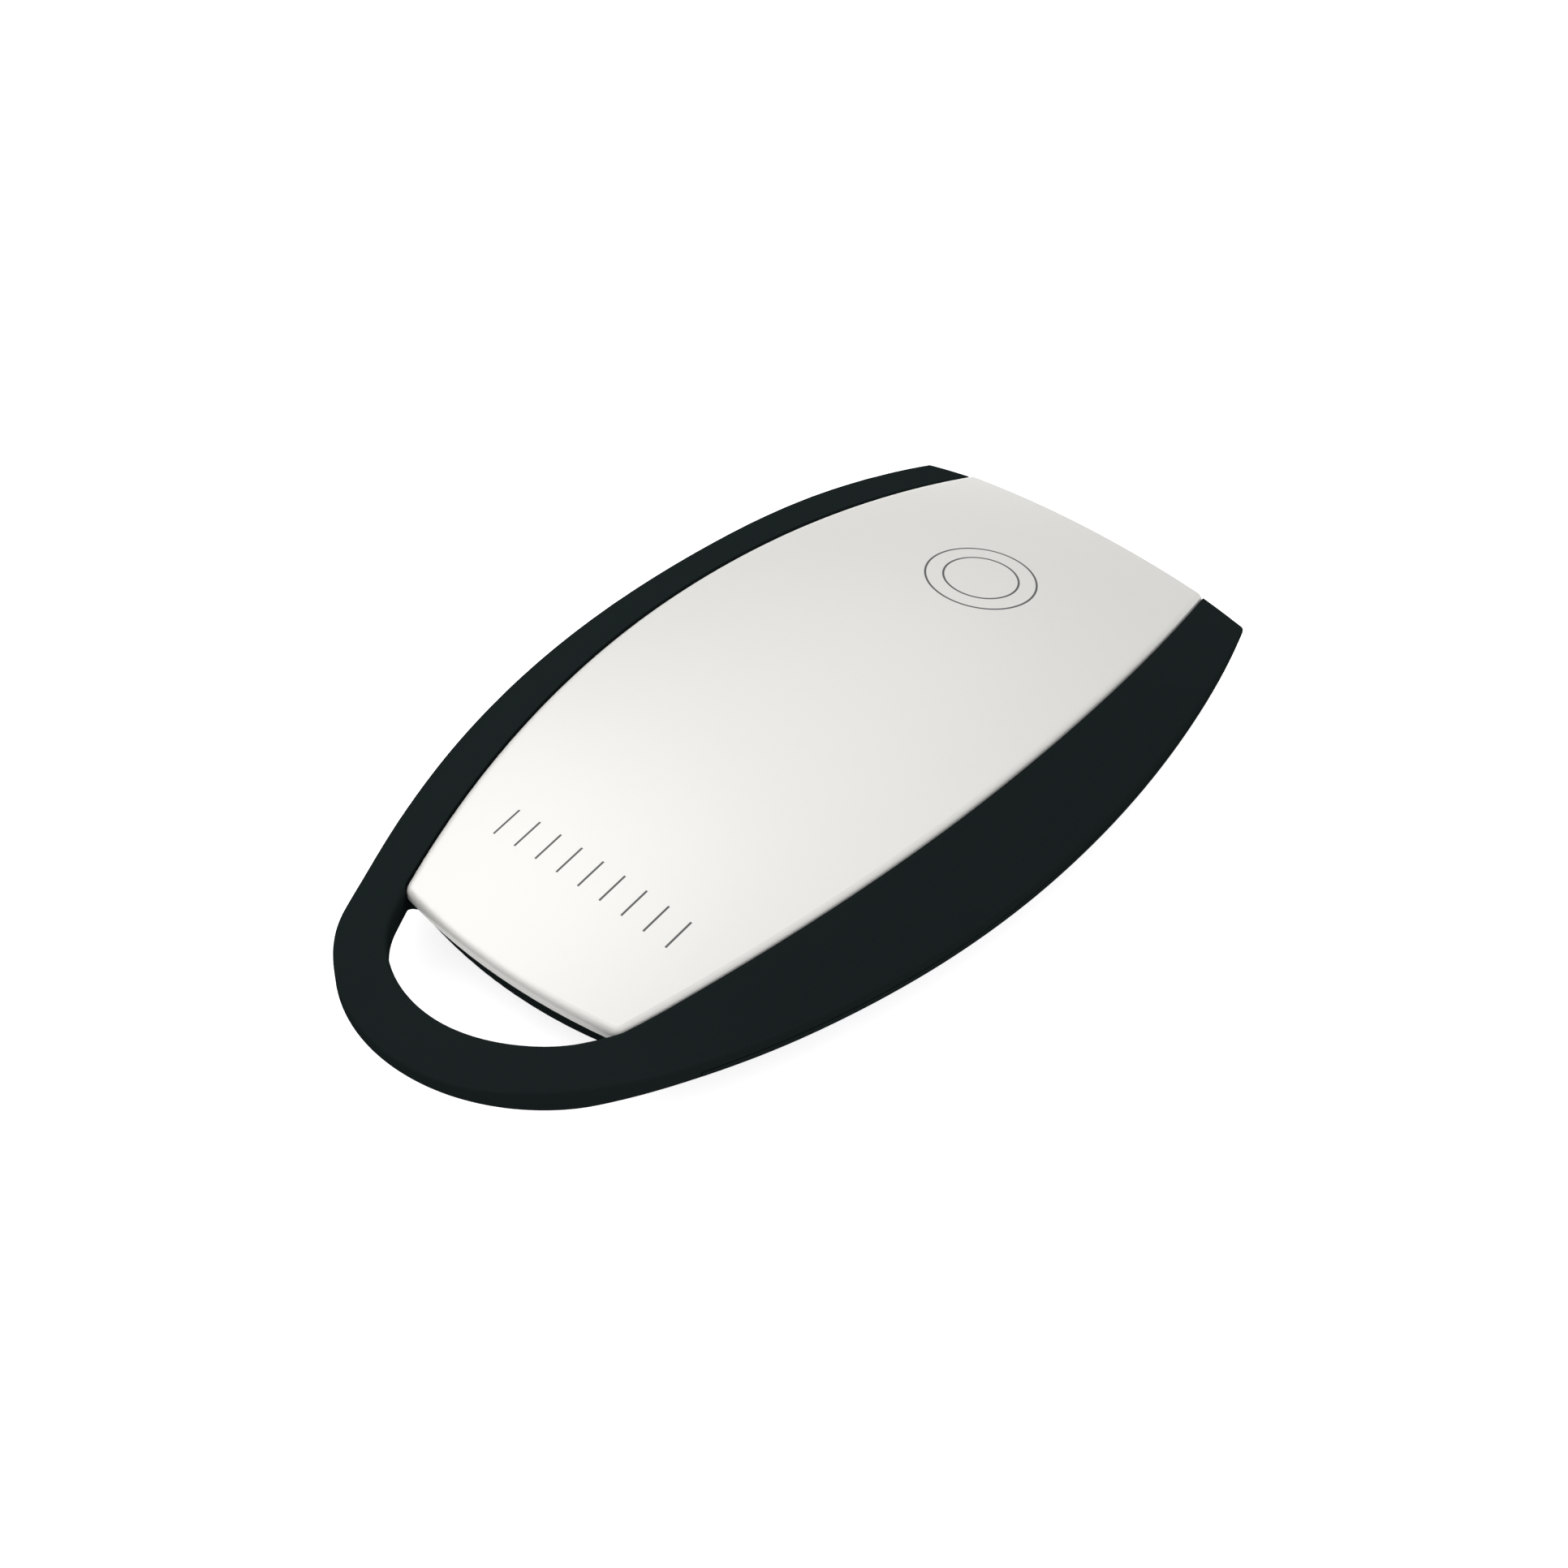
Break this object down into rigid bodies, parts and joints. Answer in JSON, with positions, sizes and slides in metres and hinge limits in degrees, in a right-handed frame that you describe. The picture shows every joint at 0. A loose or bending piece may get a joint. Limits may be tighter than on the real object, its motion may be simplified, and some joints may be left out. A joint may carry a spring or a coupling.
{
  "type": "rfid key fob",
  "caption": "Almond-shaped passive RFID key fob with a key-ring slot, a black two-part shell and a satin cover plate over a coil and chip, held to a reader to open a lock or disarm an alarm.",
  "frame": {"origin": "middle of the bounding box, at the height of the rest flat on the back", "axes": "+Y from the key loop to the wide end, +X across, +Z out of the rest face towards the cover"},
  "size_m": [0.034, 0.06, 0.0078],
  "materials": {
    "satin_cover": "satin pearl silver paint",
    "black_plastic": "fine matte moulded black",
    "adhesive_tape": "white double-sided tape",
    "board_laminate": "green glass-fibre laminate",
    "copper": "etched copper",
    "chip_mould": "black moulding compound",
    "tinned_metal": "bright tin",
    "ceramic": "tan ceramic",
    "foam": "dark open-cell foam"
  },
  "bodies": {
    "root": {"front_cover": "satin_cover", "upper_shell": "black_plastic", "lower_shell": "black_plastic", "cover_adhesive": "adhesive_tape", "antenna_board": "board_laminate", "antenna_coil": "copper", "bridge_track": "copper", "bridge_vias": "copper", "feed_tracks": "copper", "solder_pads": "copper", "transponder_chip": "chip_mould", "chip_leads": "tinned_metal", "tuning_capacitor": "ceramic", "capacitor_terminals": "tinned_metal", "solder_joints": "tinned_metal", "foam_pad": "foam"}
  },
  "joints": []
}
